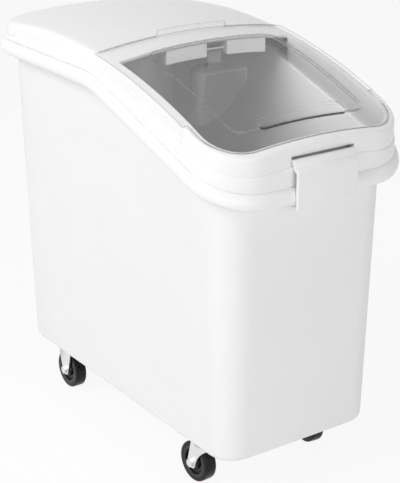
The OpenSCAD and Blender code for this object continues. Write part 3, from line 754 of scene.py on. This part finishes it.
def latchProfile(s):
    # y and z from the knuckle's top down the outside, round the hook, up the inside and round the knuckle
    pinY, pinZ, r = s["pinY"], s["pinZ"], s["knuckle"]
    front, back, low, shoulder = s["front"], s["back"], s["low"], s["shoulder"]
    inner, hookTop = front + s["wall"], low + s["wall"]
    neckFront = back - r
    neckBack = neckFront + s["neck"]
    profile = [
        (pinY, pinZ + r), (back, pinZ + r), (neckFront, pinZ), (neckFront, shoulder + s["neck"]),
        (front, shoulder), (front, low), (back, low), (back, hookTop),
        (inner, hookTop), (inner, shoulder - s["neck"]), (neckBack, shoulder), (neckBack, pinZ - r),
        (pinY, pinZ - r),
    ]
    for i in range(1, s["knuckleSteps"]):
        a = math.radians(-90 + 180 * i / s["knuckleSteps"])
        profile.append((pinY + r * math.cos(a), pinZ + r * math.sin(a)))
    return profile


def makeLatch(s):
    bm = bmesh.new()
    ring = [bm.verts.new((-s["w"] / 2 * mm, (y + shiftY) * mm, z * mm)) for y, z in latchProfile(s)]
    loop = [bm.edges.new((a, b)) for a, b in zip(ring, ring[1:] + ring[:1])]
    sheet = bmesh.ops.contextual_create(bm, geom=loop)["faces"]
    grown = bmesh.ops.extrude_face_region(bm, geom=sheet)["geom"]
    farSide = [g for g in grown if isinstance(g, bmesh.types.BMVert)]
    bmesh.ops.translate(bm, verts=farSide, vec=(s["w"] * mm, 0, 0))
    bmesh.ops.recalc_face_normals(bm, faces=bm.faces)
    front = (s["front"] + hair + shiftY) * mm
    face = [e for e in bm.edges if all(v.co.y < front for v in e.verts)]
    roundEdges(bm, face, s["faceSoft"], s["faceSegments"])
    hard = [e for e in bm.edges if isHard(e, s["hardTurn"])]
    roundEdges(bm, hard, s["soft"], s["segments"])
    piece = finishPiece(bm, "latchStrap", "latch", whiteLidPlastic, ["front_latch"],
                        s["shadeTurn"])
    drill, bore = bmesh.new(), s["bore"] * mm
    bmesh.ops.create_cone(drill, cap_ends=True, segments=s["boreSides"], radius1=bore, radius2=bore,
                          depth=s["drillLength"] * mm)
    sideways = Matrix.Rotation(math.radians(90), 3, "Y")
    bmesh.ops.rotate(drill, verts=drill.verts, cent=(0, 0, 0), matrix=sideways)
    bmesh.ops.translate(drill, verts=drill.verts, vec=(0, (s["pinY"] + shiftY) * mm, s["pinZ"] * mm))
    cutAway(piece, drill)
    return piece


makeLatch(latchSettings)
print("latch made")


# casters: spun wheels and tyres, pressings with rounded edges

wheelSettings = {
    "axleZ": 35, "steps": 72, "arc": 3,
    "places": {  # x and y of the caster, how far its wheel trails, and its turn in degrees
        "front_left": (-113.5, -218, 24, 3), "front_right": (113.5, -218, 24, -6),
        "rear_left": (-113.5, 221, 0, 0), "rear_right": (113.5, 221, 0, 0)},
    # half sections as radius and distance from the wheel's middle plane, with the rounding of each corner
    "wheelHalf": [(6.05, 12), (12, 12), (13.5, 4.5), (15.75, 4.5), (16.5, 6), (18, 6), (18.75, 4.5),
                  (21, 4.5), (22.5, 10.5), (27, 10.5)],
    "wheelRounds": [1.2, 1.6, 0.7, 0.6, 0.6, 0.7, 1.4, 0.9],
    "tyreHalf": [(27.05, 10.5), (33.6, 10.5), (34.7, 9.2), (35, 0)],
    "tyreRounds": [0.8, 1.4],
}
mountSettings = {"pressing": 0.6, "axle": 0.5, "nut": 0.5, "bolts": 0.4, "pads": 0.8}  # edge rounding


def spinAboutAxle(s, corners, rounds, place):
    # half a section, its mirror image, one full turn, then out to the caster
    half = roundCorners([Vector((r, x, 0)) for r, x in corners], rounds, s["arc"])
    middle = [] if half[-1].y > hair else half[-1:]
    half = half[:-1] if middle else half
    outline = half + middle + [Vector((p.x, -p.y, 0)) for p in half[::-1]]
    bm = bmesh.new()
    ring = [bm.verts.new((p.y * mm, 0, p.x * mm)) for p in outline]
    loop = [bm.edges.new((a, b)) for a, b in zip(ring, ring[1:] + ring[:1])]
    bmesh.ops.spin(bm, geom=ring + loop, cent=(0, 0, 0), axis=(1, 0, 0), dvec=(0, 0, 0),
                   angle=math.tau, steps=s["steps"], use_merge=True)
    closeDrawn(bm)
    x, y, trail, degrees = place
    swivel = Matrix.Rotation(math.radians(degrees), 3, "Z")
    bmesh.ops.translate(bm, verts=bm.verts, vec=(0, trail * mm, s["axleZ"] * mm))
    bmesh.ops.rotate(bm, verts=bm.verts, cent=(0, 0, 0), matrix=swivel)
    bmesh.ops.translate(bm, verts=bm.verts, vec=(x * mm, (y + shiftY) * mm, 0))
    return bm


def makeWheels(s):
    for caster, place in s["places"].items():
        label, roller = camelName(caster), caster + "_roller"
        disc = spinAboutAxle(s, s["wheelHalf"], s["wheelRounds"], place)
        finishPiece(disc, label + "Disc", roller, blackWheelPlastic, [caster + "_wheel"])
        tread = spinAboutAxle(s, s["tyreHalf"], s["tyreRounds"], place)
        finishPiece(tread, label + "Tread", roller, blackTread, [caster + "_tyre"])


def makeMounts(s):
    for name in ("rear_left_bracket", "rear_right_bracket", "front_left_fork", "front_right_fork",
                 "front_left_plate", "front_right_plate"):
        softenNode(name, zincPlate, s["pressing"])
    for caster in wheelSettings["places"]:
        softenNode(caster + "_axle", zincPlate, s["axle"])
        softenNode(caster + "_nut", zincPlate, s["nut"])
    softenNode("caster_bolts", zincPlate, s["bolts"])
    softenNode("caster_pads", whiteTubPlastic, s["pads"])


makeWheels(wheelSettings)
makeMounts(mountSettings)
for node in nodes.values():
    if not node.hide_render:  # pins, bushings and balls stay as they are, in the plate's finish
        for part in node.material_slots:
            part.link = "OBJECT"
            part.material = zincPlate
print("casters finished")


# stage, light and camera

stageSettings = {"floorSize": 8.0, "floorWhite": 0.9, "floorGlow": 0.9, "worldLight": 0.32}
lampSettings = {
    "leftBox": {"place": (-2.6, 0.1, 2.2), "aim": (0, 0, 0.45), "size": (2.4, 2.0), "power": 58},
    "topBox": {"place": (-0.3, 0.2, 3.0), "aim": (0, 0, 0.5), "size": (2.2, 2.2), "power": 8},
    "frontBox": {"place": (-0.5, -3.2, 1.0), "aim": (0, 0, 0.4), "size": (2.2, 1.6), "power": 28},
}
cameraSettings = {
    "place": (-1.2578, -1.8352, 1.1891), "right": (0.8202, -0.572, 0.0),
    "up": (0.2054, 0.2945, 0.9333), "back": (-0.5339, -0.7655, 0.3591),
    "lens": 103.52, "sensor": 36, "farthest": 50,
}


def seenWhite(tree):
    # 1 for rays from the camera, in a reflection or through clear plastic
    path = tree.nodes.new("ShaderNodeLightPath")
    total = path.outputs["Is Camera Ray"]
    for kind in ("Is Glossy Ray", "Is Transmission Ray"):
        either = tree.nodes.new("ShaderNodeMath")
        either.operation = "MAXIMUM"
        tree.links.new(total, either.inputs[0])
        tree.links.new(path.outputs[kind], either.inputs[1])
        total = either.outputs["Value"]
    return total


def makePaleFloorFinish(s):
    mat = bpy.data.materials.new("paleFloor")
    mat.use_nodes = True
    tree = mat.node_tree
    tree.nodes.clear()
    out = tree.nodes.new("ShaderNodeOutputMaterial")
    matte = tree.nodes.new("ShaderNodeBsdfDiffuse")
    matte.inputs["Color"].default_value = (s["floorWhite"], s["floorWhite"], s["floorWhite"], 1)
    glow = tree.nodes.new("ShaderNodeEmission")
    glow.inputs["Color"].default_value = (1, 1, 1, 1)
    mix = tree.nodes.new("ShaderNodeMixShader")
    share = tree.nodes.new("ShaderNodeMath")
    share.operation = "MULTIPLY"
    share.inputs[1].default_value = s["floorGlow"]
    tree.links.new(seenWhite(tree), share.inputs[0])
    tree.links.new(share.outputs["Value"], mix.inputs["Fac"])
    tree.links.new(matte.outputs["BSDF"], mix.inputs[1])
    tree.links.new(glow.outputs["Emission"], mix.inputs[2])
    tree.links.new(mix.outputs["Shader"], out.inputs["Surface"])
    return mat


def makeFloor(s):
    bm = bmesh.new()
    bmesh.ops.create_grid(bm, x_segments=1, y_segments=1, size=s["floorSize"] / 2)
    mesh = bpy.data.meshes.new("paleFloor")
    bm.to_mesh(mesh)
    bm.free()
    mesh.materials.append(makePaleFloorFinish(s))
    floor = addObject("paleFloor", mesh)


def makeRoom(s):
    world = bpy.data.worlds.new("softRoom")
    bpy.context.scene.world = world
    world.use_nodes = True
    tree = world.node_tree
    tree.nodes.clear()
    out = tree.nodes.new("ShaderNodeOutputWorld")
    room = tree.nodes.new("ShaderNodeBackground")
    room.inputs["Color"].default_value = (1, 1, 1, 1)
    level = tree.nodes.new("ShaderNodeMapRange")
    level.inputs["To Min"].default_value = s["worldLight"]
    level.inputs["To Max"].default_value = 1.0
    tree.links.new(seenWhite(tree), level.inputs["Value"])
    tree.links.new(level.outputs["Result"], room.inputs["Strength"])
    tree.links.new(room.outputs["Background"], out.inputs["Surface"])


def addSoftbox(name, s):
    lamp = bpy.data.lights.new(name, "AREA")
    lamp.shape = "RECTANGLE"
    lamp.size, lamp.size_y = s["size"]
    lamp.energy = s["power"]
    box = addObject(name, lamp)
    box.location = s["place"]
    box.rotation_euler = (Vector(s["aim"]) - Vector(s["place"])).to_track_quat("-Z", "Y").to_euler()


def addCamera(s):
    data = bpy.data.cameras.new("photoCamera")
    data.sensor_fit = "AUTO"
    data.sensor_width = s["sensor"]
    data.lens = s["lens"]
    data.clip_end = s["farthest"]
    camera = addObject("photoCamera", data)
    turn = Matrix((s["right"], s["up"], s["back"])).transposed().to_4x4()
    camera.matrix_world = Matrix.Translation(s["place"]) @ turn
    bpy.context.scene.camera = camera


makeFloor(stageSettings)
makeRoom(stageSettings)
for name, lamp in lampSettings.items():
    addSoftbox(name, lamp)
addCamera(cameraSettings)
bpy.context.scene.view_settings.view_transform = "Standard"
print("stage, light and camera set")
